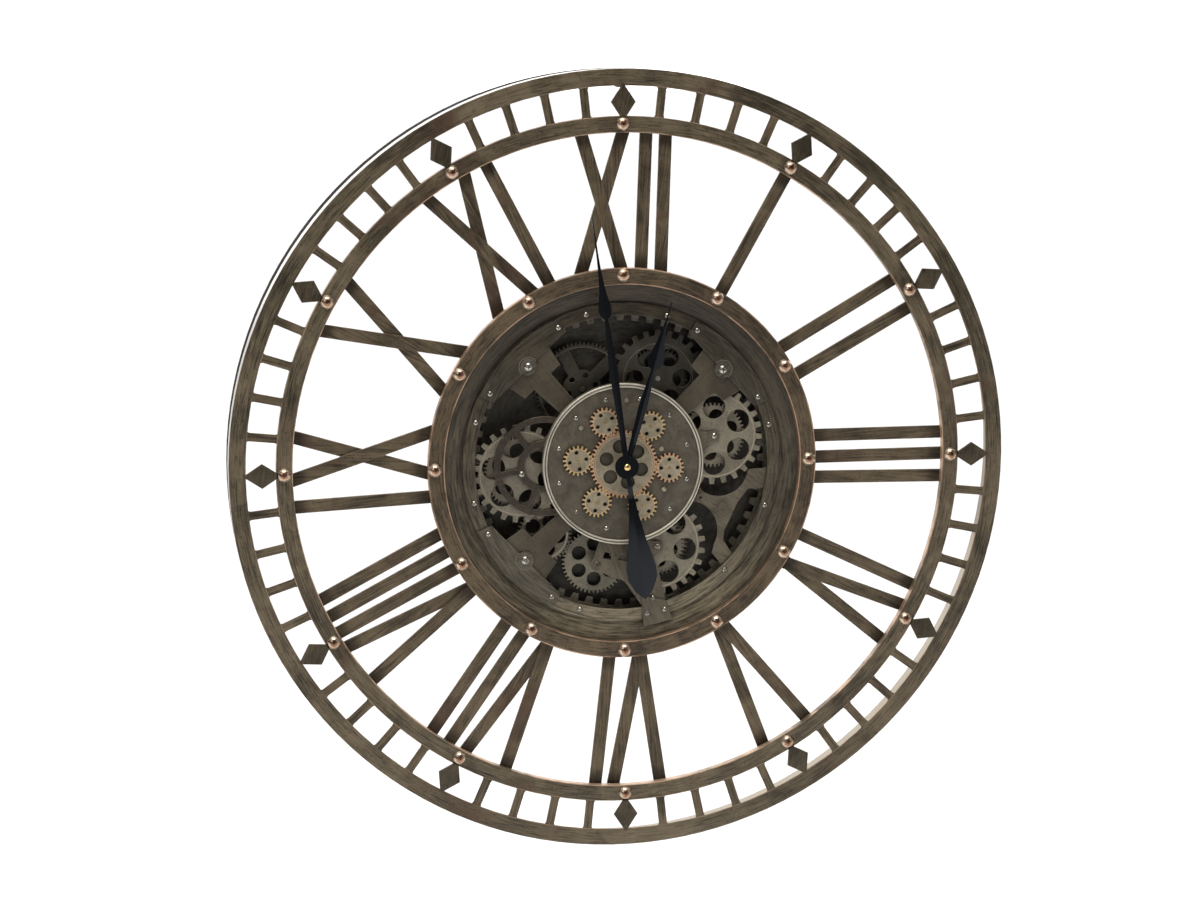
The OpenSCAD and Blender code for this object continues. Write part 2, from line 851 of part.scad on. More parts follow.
minute_half = [[2.6, 8], [3.3, 60], [4.5, 98], [4.1, 106], [1.7, 152], [5, 155.5], [6.7, 160.5],
    [6.3, 165], [3.4, 180], [1.8, 196], [1, 216], [0.35, minute_hand_l]];
minute_tail_half = [[2.4, 8], [2.6, 28], [5, 50], [9.5, 78], [15.5, 106], [15, 117], [9, 130],
    [1, 138]];
hour_half = [[2.6, 8], [4.4, 62], [3.6, 78], [1.9, 102], [5.5, 104], [8.4, 110], [8.1, 115],
    [4.6, 128], [2.2, 143], [0.9, 156], [0.35, hour_hand_l]];

// Minute hand with its counterweight leaf, boss and shaft
module minute_hand() {
    color(black) {
        plate(minute_hand_front, minute_hand_front + hand_t)
            rotate(-minute_angle) {
                hand_outline(minute_half);
                rotate(180) hand_outline(minute_tail_half);
                circle(hand_boss_r);
            }
        plate(minute_hand_front + hand_t, case_front + 5) circle(minute_shaft_r);
    }
}

// Hour hand on its tube
module hour_hand() {
    color(black) {
        plate(hour_hand_front, hour_hand_front + hand_t)
            rotate(-hour_angle)
                difference() {
                    union() {
                        hand_outline(hour_half);
                        circle(hand_boss_r - 0.7);
                    }
                    circle(hour_bore_r);
                }
        plate(hour_hand_front + hand_t, case_front + 3)
            difference() {
                circle(hour_tube_r);
                circle(hour_bore_r);
            }
    }
}

module hand_nut() {
    color(gold)
        translate([0, minute_hand_front - wall_depth, 0])
            rotate([90, 0, 0])
                intersection() {
                    cylinder(r = nut_r, h = minute_hand_front - nut_front, $fn = 32);
                    translate([0, 0, -1.2]) sphere(4.8, $fn = 48);
                }
}

// Sun gear in front of the disc, with six lightening holes and an engraved line
module sun_gear() {
    line_r = 29.5;
    color(steel)
        difference() {
            plate(sun_layer[0], sun_layer[1])
                difference() {
                    fine_gear(sun_teeth, sun_phase);
                    circle(tube_r + running);
                    around(6, 18.8, 42) circle(7.3);
                }
            plate(sun_layer[0] - 1, sun_layer[0] + 0.3) annulus(line_r - 0.35, line_r + 0.35);
        }
}

// Sleeve with the large drive wheel and the smaller rear wheel
module drive_wheel() {
    color(steel) {
        plate(sun_layer[1], upper_fine_layer[1])
            annulus(tube_r + running, sleeve_r);
        plate(fine_layer[0], fine_layer[1])
            difference() {
                fine_gear(drive_teeth, drive_phase);
                circle(sleeve_r - 0.5);
                around(6, 38, 0) circle(15);
            }
        plate(upper_fine_layer[0], upper_fine_layer[1])
            difference() {
                fine_gear(rear_teeth, 0);
                circle(sleeve_r - 0.5);
                around(6, 21, 0) circle(7.5);
            }
    }
}

// Planet gears: the direction of each and of its first hole
planet_hole_turn = [-30, 30, 11, -13, -42, 0];
module planet(k) {
    along = 54 + 60 * (k - 1);
    color(gold)
        plate(sun_layer[0], sun_layer[1])
            translate(at(planet_circle_r, along))
                difference() {
                    fine_gear(planet_teeth, mesh_phase(sun_phase, sun_teeth, along, planet_teeth));
                    circle(planet_pin_r + running);
                    around(4, 8.6, planet_hole_turn[k - 1]) circle(2.1);
                }
}

// Six lightening holes in proportion to a fine wheel
module fine_holes(teeth, turn) {
    around(6, 0.6 * pitch_r(teeth), turn) circle(0.233 * pitch_r(teeth));
}

// A coarse wheel and a fine wheel on one collar; holes is [circle radius, hole radius, line
// radius] of the coarse wheel, and turns is [direction of a hole, direction of a tooth]
coarse_holes = [29.3, 11.8, coarse_line_r];
collar_r = 8;
module double_wheel(centre, coarse_at, fine_at, teeth, phase, turns, holes) {
    color(steel)
        difference() {
            union() {
                plate(coarse_at[0], coarse_at[1])
                    translate(centre)
                        difference() {
                            toothed(coarse_teeth, coarse_root_r, coarse_tip_r, 0.52, 0.34, turns[1]);
                            around(6, holes[0], turns[0]) circle(holes[1]);
                        }
                plate(coarse_at[1], fine_at[0]) translate(centre) circle(collar_r);
                plate(fine_at[0], fine_at[1])
                    translate(centre)
                        difference() {
                            fine_gear(teeth, phase);
                            fine_holes(teeth, turns[0] - 10);
                        }
            }
            plate(coarse_at[0] - 1, fine_at[1] + 1)
                translate(centre) circle(axle_r + running);
            plate(coarse_at[0] - 1, coarse_at[0] + 0.3)
                translate(centre) annulus(holes[2] - 0.4, holes[2] + 0.4);
        }
}

// A single fine wheel in the rear layer
module plain_wheel(centre, teeth, phase, holes) {
    color(steel)
        plate(upper_fine_layer[0], upper_fine_layer[1])
            translate(centre)
                difference() {
                    fine_gear(teeth, phase);
                    circle(axle_r + running);
                    around(holes[0], holes[1], holes[3]) circle(holes[2]);
                }
}

// The dark spoked wheel at the upper left
module gear_upper_left() {
    rim_r = 43;
    hub_r = 20;
    color(dark_steel)
        plate(upper_fine_layer[0], upper_fine_layer[1])
            translate(upper_left_c)
                difference() {
                    fine_gear(upper_left_teeth, upper_left_phase);
                    circle(axle_r + running);
                    difference() {
                        annulus(hub_r, rim_r);
                        for (k = [0:4])
                            rotate(45 + 72 * k)
                                translate([0, -6.5])
                                    square([rim_r + 1, 13]);
                    }
                    around(6, 14.5, 17) circle(2.8);
                }
}

module gear_right() {
    double_wheel(right_c, coarse_layer, fine_layer, right_teeth, right_phase, [30, -2.5],
        coarse_holes);
}

// The lower right gear carries a third wheel on its collar, which drives the bottom gear
module gear_lower_right() {
    double_wheel(lower_right_c, coarse_layer, fine_layer, lower_right_teeth, lower_right_phase,
        [-8, -8], coarse_holes);
    color(steel) {
        plate(fine_layer[1], upper_fine_layer[0])
            translate(lower_right_c)
                difference() {
                    circle(collar_r);
                    circle(axle_r + running);
                }
        plate(upper_fine_layer[0], upper_fine_layer[1])
            translate(lower_right_c)
                difference() {
                    fine_gear(lower_right_rear_teeth, lower_right_rear_phase);
                    circle(axle_r + running);
                    fine_holes(lower_right_rear_teeth, 0);
                }
    }
}

module gear_left() {
    double_wheel(left_c, coarse_layer, fine_layer, left_teeth, left_phase, [47, 7], coarse_holes);
}

module gear_upper_right() {
    double_wheel(upper_right_c, upper_coarse_layer, upper_fine_layer, upper_right_teeth,
        upper_right_phase, [0, 0], [24.5, 9.5, 36]);
}

// The two plain wheels: [number of holes, circle radius, hole radius, direction of a hole]
module gear_bottom() {
    plain_wheel(bottom_c, bottom_teeth, bottom_phase, [6, 18.3, 7.4, 29]);
}

module gear_bottom_left() {
    plain_wheel(bottom_left_c, bottom_left_teeth, bottom_left_phase, [5, 15, 7.5, -4]);
}

outer_ring();
numeral_ring();
hub_ring();
minute_bars();
hour_diamonds();
ring_rivets();
numeral(1);  // numeral_01
numeral(2);  // numeral_02
numeral(3);  // numeral_03
numeral(4);  // numeral_04
numeral(5);  // numeral_05
numeral(6);  // numeral_06
numeral(7);  // numeral_07
numeral(8);  // numeral_08
numeral(9);  // numeral_09
numeral(10);  // numeral_10
numeral(11);  // numeral_11
numeral(12);  // numeral_12
drum();
dish();
tooth_ring();
back_cover();
chord_plates();
bridge_arms();
web_plate();
axle_bracket();
bottom_bridge();
left_cage();
centre_disc();
bezel_ring();
disc_pins();
screws();
gear_axles();
hanging_eye();
movement_case();
setting_wheel();
gear_motor();
battery_box();
battery_door();
aa_cells();
power_switch();
minute_hand();
hour_hand();
hand_nut();
sun_gear();
drive_wheel();
planet(1);  // planet_1
planet(2);  // planet_2
planet(3);  // planet_3
planet(4);  // planet_4
planet(5);  // planet_5
planet(6);  // planet_6
gear_right();
gear_lower_right();
gear_left();
gear_upper_right();
gear_upper_left();
gear_bottom();
gear_bottom_left();
motor_pinion();
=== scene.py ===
import json
import math

import bmesh
import bpy
from mathutils import Matrix, Vector


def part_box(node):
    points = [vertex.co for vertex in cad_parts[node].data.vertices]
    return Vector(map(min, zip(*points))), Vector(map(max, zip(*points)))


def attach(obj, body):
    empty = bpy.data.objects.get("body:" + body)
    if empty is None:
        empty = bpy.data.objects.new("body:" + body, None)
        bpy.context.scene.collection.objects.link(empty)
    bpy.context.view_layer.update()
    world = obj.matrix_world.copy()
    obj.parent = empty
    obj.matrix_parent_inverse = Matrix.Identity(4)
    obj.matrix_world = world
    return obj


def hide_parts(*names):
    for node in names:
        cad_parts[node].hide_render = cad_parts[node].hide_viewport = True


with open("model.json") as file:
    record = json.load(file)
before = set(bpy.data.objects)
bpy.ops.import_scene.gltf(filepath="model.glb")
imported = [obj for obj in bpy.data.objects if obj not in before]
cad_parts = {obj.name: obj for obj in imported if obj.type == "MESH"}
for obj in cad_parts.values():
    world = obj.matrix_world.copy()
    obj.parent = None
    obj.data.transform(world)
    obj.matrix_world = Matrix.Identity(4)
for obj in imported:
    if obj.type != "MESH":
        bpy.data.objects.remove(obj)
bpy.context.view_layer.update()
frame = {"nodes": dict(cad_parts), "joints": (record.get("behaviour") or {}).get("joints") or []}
nodes = frame["nodes"]
joint_of = {joint["child"]: joint for joint in frame["joints"]}


# ---------------------------------------------------------------- measures, in metres
# Depths are counted back from the rings' front faces, and angles up from the right of the dial.
def face_radii(ring):
    """Inner and outer radius of a ring's flat front face."""
    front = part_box(ring)[0].y
    on_face = [v.co for v in nodes[ring].data.vertices if v.co.y < front + 0.00001]
    radii = [math.hypot(co.x, co.z) for co in on_face]
    return min(radii), max(radii)


def at(radius, angle):
    """A point in the dial's plane."""
    return (radius * math.cos(math.radians(angle)), radius * math.sin(math.radians(angle)))


def centre_of(body):
    """The place of a body's axle in the dial's plane."""
    x, _, z = joint_of[body]["pos_m"]
    return (x, z)


WALL_DEPTH = -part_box("outer_ring")[0].y
OUTER_IN, OUTER_OUT = face_radii("outer_ring")
NUMERAL_IN, NUMERAL_OUT = face_radii("numeral_ring")
HUB_IN, HUB_OUT = face_radii("hub_ring")

AXIS = (0.0, 0.0)
LEFT_CAGE = (-0.0811, -0.0008)
ARM_SCREWS = [at(0.1405, angle) for angle in (42.0, 133.5, 223.7)]
STRIP_ENDS = (0.337, 0.2)
MINUTE_HAND_ANGLE, HOUR_HAND_ANGLE = 97.8, 74.2

FACE_BACK = 0.002  # behind it, the outer ring is all wall
BAND_EDGE = 0.026  # behind it, the outer band's outside is painted dull black as shade
DISC_PIN_BACK = 0.00495  # before it, the centre disc's node is only the planets' pins


# ---------------------------------------------------------------- shader helpers
class Graph:
    """A short way to write a material's node tree."""

    def __init__(self, name):
        self.mat = bpy.data.materials.new(name)
        self.mat.use_nodes = True
        self.tree = self.mat.node_tree
        self.tree.nodes.clear()
        out = self.add("ShaderNodeOutputMaterial")
        self.shader = self.add("ShaderNodeBsdfPrincipled")
        self.put(out.inputs["Surface"], self.shader.outputs[0])
        self.coord = self.add("ShaderNodeTexCoord").outputs["Object"]

    def add(self, kind):
        return self.tree.nodes.new(kind)

    def put(self, socket, value):
        """Links an output to a socket, or sets the socket's value."""
        if isinstance(value, bpy.types.NodeSocket):
            self.tree.links.new(value, socket)
        elif isinstance(value, (tuple, list)) and len(value) == 3 and len(socket.default_value) == 4:
            socket.default_value = (*value, 1.0)
        else:
            socket.default_value = value

    def set(self, **sockets):
        """Fills the shader's inputs, with _ for each space in a name, and gives the material."""
        for name, value in sockets.items():
            self.put(self.shader.inputs[name.replace("_", " ")], value)
        return self.mat

    def math(self, operation, *values):
        node = self.add("ShaderNodeMath")
        node.operation = operation
        for socket, value in zip(node.inputs, values):
            self.put(socket, value)
        return node.outputs[0]

    def plus(self, a, b):
        return self.math("ADD", a, b)

    def minus(self, a, b):
        return self.math("SUBTRACT", a, b)

    def times(self, a, b):
        return self.math("MULTIPLY", a, b)

    def axes(self, vector=None):
        node = self.add("ShaderNodeSeparateXYZ")
        self.put(node.inputs[0], vector or self.coord)
        return node.outputs[0], node.outputs[1], node.outputs[2]

    def vector(self, *parts):
        node = self.add("ShaderNodeCombineXYZ")
        for socket, value in zip(node.inputs, parts):
            self.put(socket, value)
        return node.outputs[0]

    def mix(self, factor, a, b, blend="MIX"):
        """Mixes two colours."""
        node = self.add("ShaderNodeMix")
        node.data_type = "RGBA"
        node.blend_type = blend
        self.put(node.inputs["Factor"], factor)
        self.put(node.inputs[6], a)
        self.put(node.inputs[7], b)
        return node.outputs[2]

    def blend(self, factor, a, b):
        """Mixes two numbers."""
        node = self.add("ShaderNodeMix")
        self.put(node.inputs["Factor"], factor)
        self.put(node.inputs[2], a)
        self.put(node.inputs[3], b)
        return node.outputs[0]

    def noise(self, vector, scale, detail, rough, distort=0.0, w=None):
        node = self.add("ShaderNodeTexNoise")
        self.put(node.inputs["Vector"], vector)
        node.inputs["Scale"].default_value = scale
        node.inputs["Detail"].default_value = detail
        node.inputs["Roughness"].default_value = rough
        node.inputs["Distortion"].default_value = distort
        if w is not None:
            node.noise_dimensions = "4D"
            self.put(node.inputs["W"], w)
        return node.outputs["Fac"]

    def voronoi(self, vector, scale):
        node = self.add("ShaderNodeTexVoronoi")
        self.put(node.inputs["Vector"], vector)
        node.inputs["Scale"].default_value = scale
        return node.outputs["Distance"]

    def span(self, value, low, high, to_low=0.0, to_high=1.0):
        """Maps low to high smoothly onto to_low to to_high, and stays there beyond them."""
        node = self.add("ShaderNodeMapRange")
        node.interpolation_type = "SMOOTHSTEP"
        self.put(node.inputs["Value"], value)
        node.inputs["From Min"].default_value = low
        node.inputs["From Max"].default_value = high
        node.inputs["To Min"].default_value = to_low
        node.inputs["To Max"].default_value = to_high
        return node.outputs["Result"]

    def band(self, value, centre, half, soft):
        """1 within half of centre, falling to 0 over soft."""
        off = self.math("ABSOLUTE", self.minus(value, centre))
        return self.span(off, half, half + soft, 1.0, 0.0)

    def bump(self, height, strength, distance, under=None):
        node = self.add("ShaderNodeBump")
        node.inputs["Strength"].default_value = strength
        node.inputs["Distance"].default_value = distance
        self.put(node.inputs["Height"], height)
        if under is not None:
            self.put(node.inputs["Normal"], under)
        return node.outputs["Normal"]


def scaled(colour, factor):
    return tuple(factor * part for part in colour)


def polar(g, centre=AXIS):
    """Radius from an axis along Y, the direction from it as a unit vector, and y."""
    x, y, z = g.axes()
    dx = g.minus(x, centre[0])
    dz = g.minus(z, centre[1])
    radius = g.math("SQRT", g.plus(g.times(dx, dx), g.times(dz, dz)))
    safe = g.math("MAXIMUM", radius, 0.0001)
    return radius, g.math("DIVIDE", dx, safe), g.math("DIVIDE", dz, safe), y


def lengthwise(g, angle):
    """Distance along a line through the clock's axis, distance across it, and y."""
    x, y, z = g.axes()
    cosine, sine = at(1.0, angle)
    along = g.plus(g.times(x, cosine), g.times(z, sine))
    across = g.minus(g.times(z, cosine), g.times(x, sine))
    return along, across, y


def polar_marks(g, centre, round_scale, out_scale, detail, rough):
    """Brush marks about an axis, longest in the direction whose scale is the smaller."""
    radius, cosine, sine, y = polar(g, centre)
    place = g.vector(g.times(cosine, round_scale), g.times(sine, round_scale), g.times(radius, out_scale))
    return g.noise(place, 1.0, detail, rough, w=g.times(y, out_scale))


def straight_marks(g, angle, along_scale, across_scale, detail, rough):
    """Straight brush marks at an angle."""
    along, across, y = lengthwise(g, angle)
    place = g.vector(g.times(along, along_scale), g.times(across, across_scale), g.times(y, across_scale))
    return g.noise(place, 1.0, detail, rough)


def edges(g, radius):
    """How far a point lies on a sharp edge, 0 to 1, and the normal rounded over that edge."""
    bevel = g.add("ShaderNodeBevel")
    bevel.samples = 4
    bevel.inputs["Radius"].default_value = radius
    dot = g.add("ShaderNodeVectorMath")
    dot.operation = "DOT_PRODUCT"
    g.put(dot.inputs[0], bevel.outputs[0])
    g.put(dot.inputs[1], g.add("ShaderNodeNewGeometry").outputs["Normal"])
    return g.span(dot.outputs["Value"], 0.8, 0.995, 1.0, 0.0), bevel.outputs[0]


def crevices(g, reach):
    """1 in inside corners and under overhangs within reach, 0 in the open."""
    shade = g.add("ShaderNodeAmbientOcclusion")
    shade.samples = 6
    shade.inputs["Distance"].default_value = reach
    return g.span(shade.outputs["AO"], 0.35, 0.95, 1.0, 0.0)


# ---------------------------------------------------------------- grains: each gives a function of a graph
def round_grain(centre, along, across, detail=5.0, rough=0.66):
    """Brush marks that run round an axis."""
    return lambda g: polar_marks(g, centre, along, across, detail, rough)


def out_grain(along=30.0, across=230.0):
    """Brush marks that run outwards from the clock's axis."""
    return lambda g: polar_marks(g, AXIS, across, along, 5.0, 0.66)


def line_grain(angle, along, across):
    """Straight brush marks."""
    return lambda g: straight_marks(g, angle, along, across, 5.0, 0.62)


# ---------------------------------------------------------------- masks: each gives a function of a graph
def ring_mask(centre, radius, half, soft):
    """A line round an axis, as of an engraved circle."""
    return lambda g: g.band(polar(g, centre)[0], radius, half, soft)


def outside_mask(centre, radius, soft):
    """1 outside a circle."""
    return lambda g: g.span(polar(g, centre)[0], radius - soft, radius + soft)


def rubbed_rim(radius, half, soft):
    """A rim rubbed bright in places, round the clock's axis."""
    def mask(g):
        patchy = g.span(g.noise(g.coord, 26.0, 4.0, 0.6), 0.4, 0.6, 0.1, 1.0)
        return g.times(g.band(polar(g)[0], radius, half, soft), patchy)
    return mask


def rising_mask(low, high):
    """0 below one height, rising to 1 at another."""
    return lambda g: g.span(g.axes()[2], low, high)


def falling_mask(high, low):
    """0 above one height, rising to 1 below another."""
    return lambda g: g.span(g.axes()[2], low, high, 1.0, 0.0)


def behind_mask(depth):
    """1 behind a depth."""
    soft = 0.0006
    return lambda g: g.span(g.plus(g.axes()[1], WALL_DEPTH), depth - soft, depth + soft)


def band_back_shade_mask(g):
    """The back half of the outer band, on its outside only, which is painted near black as shade."""
    outside = outside_mask(AXIS, OUTER_OUT - 0.0007, 0.0002)
    return g.times(behind_mask(BAND_EDGE)(g), outside(g))


def band_highlight_mask(g):
    """The rest of the band's walls, which get a lighter, glossy bronze as a painted highlight."""
    return g.minus(behind_mask(FACE_BACK)(g), band_back_shade_mask(g))


# ---------------------------------------------------------------- materials
def metal(name, dark, light, grain, stain=None, worn=None, wear_radius=0.0009, rough=(0.34, 0.58),
          bump=0.3, cloud_scale=22.0, grain_weight=0.6, spread=0.14, score=0.3, crevice_shade=0.0, reach=0.012,
          tint=(), finish=()):
    """Brushed, toned metal: streaks of light and dark, clouds, stains, specks and bright worn edges.

    stain and worn are each a colour and an amount. grain_weight is the streaks' share against the
    clouds', spread is half the width of their tones, and score darkens the deepest marks. crevice_shade
    is painted shade, darkening inside corners out to reach. tint is a list of (mask, colour, amount,
    blend mode) laid over the base colour, and finish of (mask, roughness, metallic, specular level)
    that holds where the mask is 1."""
    g = Graph(name)
    streak = grain(g)
    fine = g.noise(g.coord, 1100.0, 3.0, 0.65)
    cloud = g.noise(g.coord, cloud_scale, 5.0, 0.62, 0.6)
    tone = g.plus(g.times(streak, grain_weight), g.times(cloud, 1.0 - grain_weight))
    colour = g.mix(g.span(tone, 0.5 - spread, 0.5 + spread), dark, light)
    if stain:
        stain_colour, amount = stain
        patch = g.noise(g.coord, cloud_scale * 0.62, 6.0, 0.6, 0.8)
        push = g.times(g.minus(streak, 0.5), 0.45)
        stained = g.span(g.plus(patch, push), 0.68 - 0.22 * amount, 0.86 - 0.22 * amount)
        colour = g.mix(g.times(stained, 0.75), colour, stain_colour)
    speck = g.span(g.noise(g.coord, 330.0, 2.0, 0.5), 0.6, 0.7)
    colour = g.mix(g.times(speck, 0.35), colour, scaled(dark, 0.35))
    scratch = g.span(streak, 0.36, 0.44, 1.0, 0.0)
    colour = g.mix(g.times(scratch, score), colour, scaled(dark, 0.5))
    for mask, over, amount, *blend in tint:
        colour = g.mix(g.times(mask(g), amount), colour, over, *blend)
    # painted shade: darkens inside corners and under overhangs out to reach
    if crevice_shade:
        colour = g.mix(g.times(crevices(g, reach), crevice_shade), colour, scaled(dark, 0.22))
    on_edge, rounded = edges(g, wear_radius)
    if worn:
        worn_colour, amount = worn
        patchy = g.span(g.noise(g.coord, 48.0, 5.0, 0.65), 0.36, 0.6, 0.15, 1.0)
        grit = g.span(g.noise(g.coord, 420.0, 3.0, 0.6), 0.3, 0.6, 0.5, 1.0)
        wear = g.times(g.times(on_edge, patchy), g.times(grit, amount))
        colour = g.mix(wear, colour, worn_colour)
    relief = g.plus(g.times(streak, 0.7), g.times(fine, 0.3))
    surface = (g.span(relief, 0.3, 0.7, *rough), 0.45, 0.5)
    for mask, *target in finish:
        where = mask(g)
        surface = [g.blend(where, base, over) for base, over in zip(surface, target)]
    roughness, metallic, specular = surface
    return g.set(Base_Color=colour, Roughness=roughness, Metallic=metallic, Specular_IOR_Level=specular,
                 Normal=g.bump(relief, bump, 0.0004, rounded))


def polished(name, colour, deep, rough, bump=0.12, cloud_scale=180.0):
    """Polished metal with a soft tarnish in its hollows and hairline scuffs."""
    g = Graph(name)
    cloud = g.noise(g.coord, cloud_scale, 4.0, 0.6)
    hair = g.noise(g.coord, 2200.0, 3.0, 0.6)
    shade = g.mix(g.span(cloud, 0.42, 0.7), colour, deep)
    relief = g.plus(g.times(cloud, 0.5), g.times(hair, 0.5))
    return g.set(Base_Color=shade, Roughness=g.span(relief, 0.35, 0.65, *rough), Metallic=1.0,
                 Normal=g.bump(relief, bump, 0.0002, edges(g, 0.0004)[1]))


def domed(name, crown, skirt):
    """Copper-plated dome with painted reflection: a dark crown where it faces the front, partly tarnish,
    and a paler skirt where it faces aside.
    """
    g = Graph(name)
    facing = g.axes(g.add("ShaderNodeNewGeometry").outputs["Normal"])[1]
    cloud = g.noise(g.coord, 260.0, 4.0, 0.6)
    # painted reflection: darker the more the dome faces the front
    lean = g.plus(g.times(facing, -1.0), g.times(g.minus(cloud, 0.5), 0.22))
    shade = g.mix(g.span(lean, 0.72, 0.98), skirt, crown)
    spot = g.span(g.noise(g.coord, 700.0, 3.0, 0.6), 0.56, 0.7, 0.0, 0.55)
    shade = g.mix(spot, shade, scaled(crown, 0.4))
    return g.set(Base_Color=shade, Roughness=g.span(cloud, 0.35, 0.65, 0.2, 0.38), Metallic=1.0,
                 Normal=g.bump(cloud, 0.15, 0.0003))


def turned_nickel(name, groove_r):
    """Nickel plate on a spun rim: soft tarnish, fine turning marks and painted shade in the groove."""
    g = Graph(name)
    cloud = g.noise(g.coord, 40.0, 4.0, 0.6)
    marks = polar_marks(g, AXIS, 24.0, 500.0, 3.0, 0.5)
    shade = g.mix(g.span(cloud, 0.35, 0.7), (0.66, 0.62, 0.53), (0.5, 0.46, 0.38))
    # painted shade in the groove between the beads
    groove = g.band(polar(g)[0], groove_r, 0.0004, 0.0006)
    shade = g.mix(g.times(groove, 0.8), shade, (0.05, 0.044, 0.034))
    return g.set(Base_Color=shade, Roughness=g.span(marks, 0.35, 0.65, 0.42, 0.5), Metallic=0.9,
                 Normal=g.bump(marks, 0.04, 0.0001))


def plastic(name, colour):
    """Moulded plastic with a spark-eroded grain and a little handling dust."""
    g = Graph(name)
    grain = g.voronoi(g.coord, 1500.0)
    dust = g.noise(g.coord, 60.0, 4.0, 0.6)
    shade = g.mix(g.span(dust, 0.4, 0.7), colour, scaled(colour, 1.6))
    return g.set(Base_Color=shade, Roughness=g.span(grain, 0.0, 0.6, 0.42, 0.56), Metallic=0.0,
                 Normal=g.bump(grain, 0.25, 0.0002, edges(g, 0.0006)[1]))


def lacquer(name, angle):
    """Satin black lacquer over a pressed hand: a low ridge along its middle, a domed tail,
    fine lengthwise marks and pits."""
    g = Graph(name)
    away = polar(g)[0]
    along, across, _ = lengthwise(g, angle)
    ridge = g.times(g.times(g.math("ABSOLUTE", across), -0.3), g.span(away, 0.013, 0.03))
    past = g.minus(away, 0.066)
    dome = g.times(g.times(past, past), g.span(along, -0.035, -0.02, -2.2, 0.0))
    marks = straight_marks(g, angle, 30.0, 1400.0, 4.0, 0.6)
    pits = g.noise(g.coord, 1800.0, 3.0, 0.6)
    shade = g.mix(g.span(marks, 0.3, 0.7), (0.002, 0.0021, 0.0028), (0.0042, 0.0045, 0.006))
    fine = g.plus(g.times(marks, 0.00003), g.times(pits, 0.00002))
    relief = g.plus(g.plus(ridge, dome), fine)
    return g.set(Base_Color=shade, Roughness=g.span(pits, 0.3, 0.7, 0.2, 0.28), Metallic=0.0,
                 Specular_IOR_Level=0.25, Specular_Tint=(0.8, 0.88, 1.0),
                 Normal=g.bump(relief, 1.0, 1.0, edges(g, 0.0005)[1]))


def cell_jacket():
    """A plain battery jacket: dark, with a gold upper end."""
    g = Graph("cell_jacket")
    gold_end = g.span(g.axes()[2], -0.0045, -0.004)
    shade = g.mix(gold_end, (0.03, 0.03, 0.034), (0.55, 0.36, 0.14))
    scuff = g.noise(g.coord, 300.0, 4.0, 0.6)
    shade = g.mix(g.span(scuff, 0.55, 0.8, 0.0, 0.35), shade, (0.3, 0.3, 0.3))
    return g.set(Base_Color=shade, Roughness=g.span(scuff, 0.3, 0.7, 0.22, 0.4), Metallic=0.4,
                 Normal=g.bump(scuff, 0.1, 0.0001))


# ---------------------------------------------------------------- colours (linear)
DARK_BRONZE = (0.032, 0.0255, 0.0165)
BRONZE = (0.2, 0.157, 0.101)
STRIP_DARK = (0.032, 0.024, 0.015)
STRIP_LIGHT = (0.175, 0.132, 0.082)
RUST = (0.085, 0.044, 0.028)
EDGE = (0.4, 0.26, 0.175)
BARE_COPPER = (0.62, 0.4, 0.27)
HUB_DARK = (0.026, 0.0212, 0.0145)
HUB_LIGHT = (0.155, 0.131, 0.092)
STEEL_DARK = (0.13, 0.115, 0.085)
STEEL_LIGHT = (0.3, 0.27, 0.205)
# painted shade: darker copies of the steel colours, for gears that lie deep
SHADED_DARK = (0.022, 0.019, 0.014)
SHADED_LIGHT = (0.07, 0.062, 0.047)
SHADED_EDGE = (0.3, 0.28, 0.23)


# ---------------------------------------------------------------- looks of the CAD nodes
def paint(node, *materials):
    mesh = nodes[node].data
    mesh.materials.clear()
    for material in materials:
        mesh.materials.append(material)


def ring_metal(name, worn_amount, tint, finish=()):
    return metal(name, DARK_BRONZE, BRONZE, round_grain(AXIS, 17.0, 950.0, rough=0.62),
                 stain=(RUST, 0.6), worn=(EDGE, worn_amount), cloud_scale=15.0, grain_weight=0.56,
                 tint=tint, finish=finish)


def paint_rings():
    # painted highlight on the band's walls, and painted shade on the outside of its back half
    paint("outer_ring", ring_metal(
        "ring_outer", 0.85,
        tint=[(band_highlight_mask, (0.26, 0.215, 0.15), 0.75),
              (band_back_shade_mask, (0.016, 0.0135, 0.0105), 0.95),
              (rubbed_rim(OUTER_IN + 0.0002, 0.0002, 0.0004), (0.5, 0.35, 0.24), 0.5)],
        finish=[(band_highlight_mask, 0.16, 0.95, 0.5), (band_back_shade_mask, 0.9, 0.0, 0.05)]))
    paint("numeral_ring", ring_metal(
        "ring_numeral", 0.9,
        tint=[(rubbed_rim(NUMERAL_OUT - 0.0002, 0.0002, 0.0004), (0.55, 0.38, 0.26), 0.6),
              (rubbed_rim(NUMERAL_IN + 0.0003, 0.0003, 0.0004), (0.62, 0.42, 0.29), 0.85)]))
    paint("hub_ring", metal(
        "ring_hub", (0.036, 0.0255, 0.0165), (0.16, 0.117, 0.072), round_grain(AXIS, 14.0, 700.0),
        stain=((0.1, 0.056, 0.034), 0.45), worn=((0.55, 0.34, 0.22), 1.0), wear_radius=0.0012,
        cloud_scale=17.0, grain_weight=0.56,
        tint=[(rubbed_rim(HUB_OUT - 0.0005, 0.0004, 0.0005), BARE_COPPER, 0.75),
              (rubbed_rim(HUB_IN + 0.0005, 0.0003, 0.0005), BARE_COPPER, 0.7)]))


